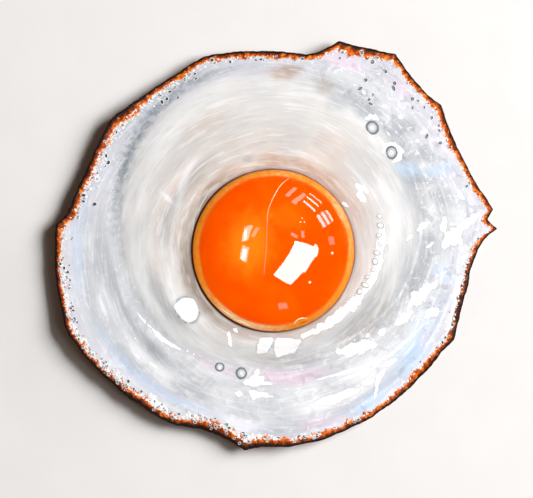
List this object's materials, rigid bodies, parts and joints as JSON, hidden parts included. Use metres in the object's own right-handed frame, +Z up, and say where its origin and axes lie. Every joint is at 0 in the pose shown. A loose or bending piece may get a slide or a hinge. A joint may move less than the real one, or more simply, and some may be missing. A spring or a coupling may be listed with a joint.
{
  "type": "fried egg",
  "caption": "Sunny-side-up fried egg: a thin set white with ripples, froth and an uneven crisp browned edge, round a glossy domed yolk.",
  "frame": {"origin": "on the surface the egg lies on, under the middle of its bounding box", "axes": "+X along the longest way across the egg, +Z up, away from the surface it lies on"},
  "size_m": [0.1156, 0.107, 0.0165],
  "materials": {
    "white": "set egg white, wet and softly glossy, with froth and a dark crisp browned edge",
    "yolk": "raw egg yolk under its skin, very glossy deep orange"
  },
  "bodies": {
    "root": {"egg_white": "white", "egg_yolk": "yolk"}
  },
  "joints": []
}
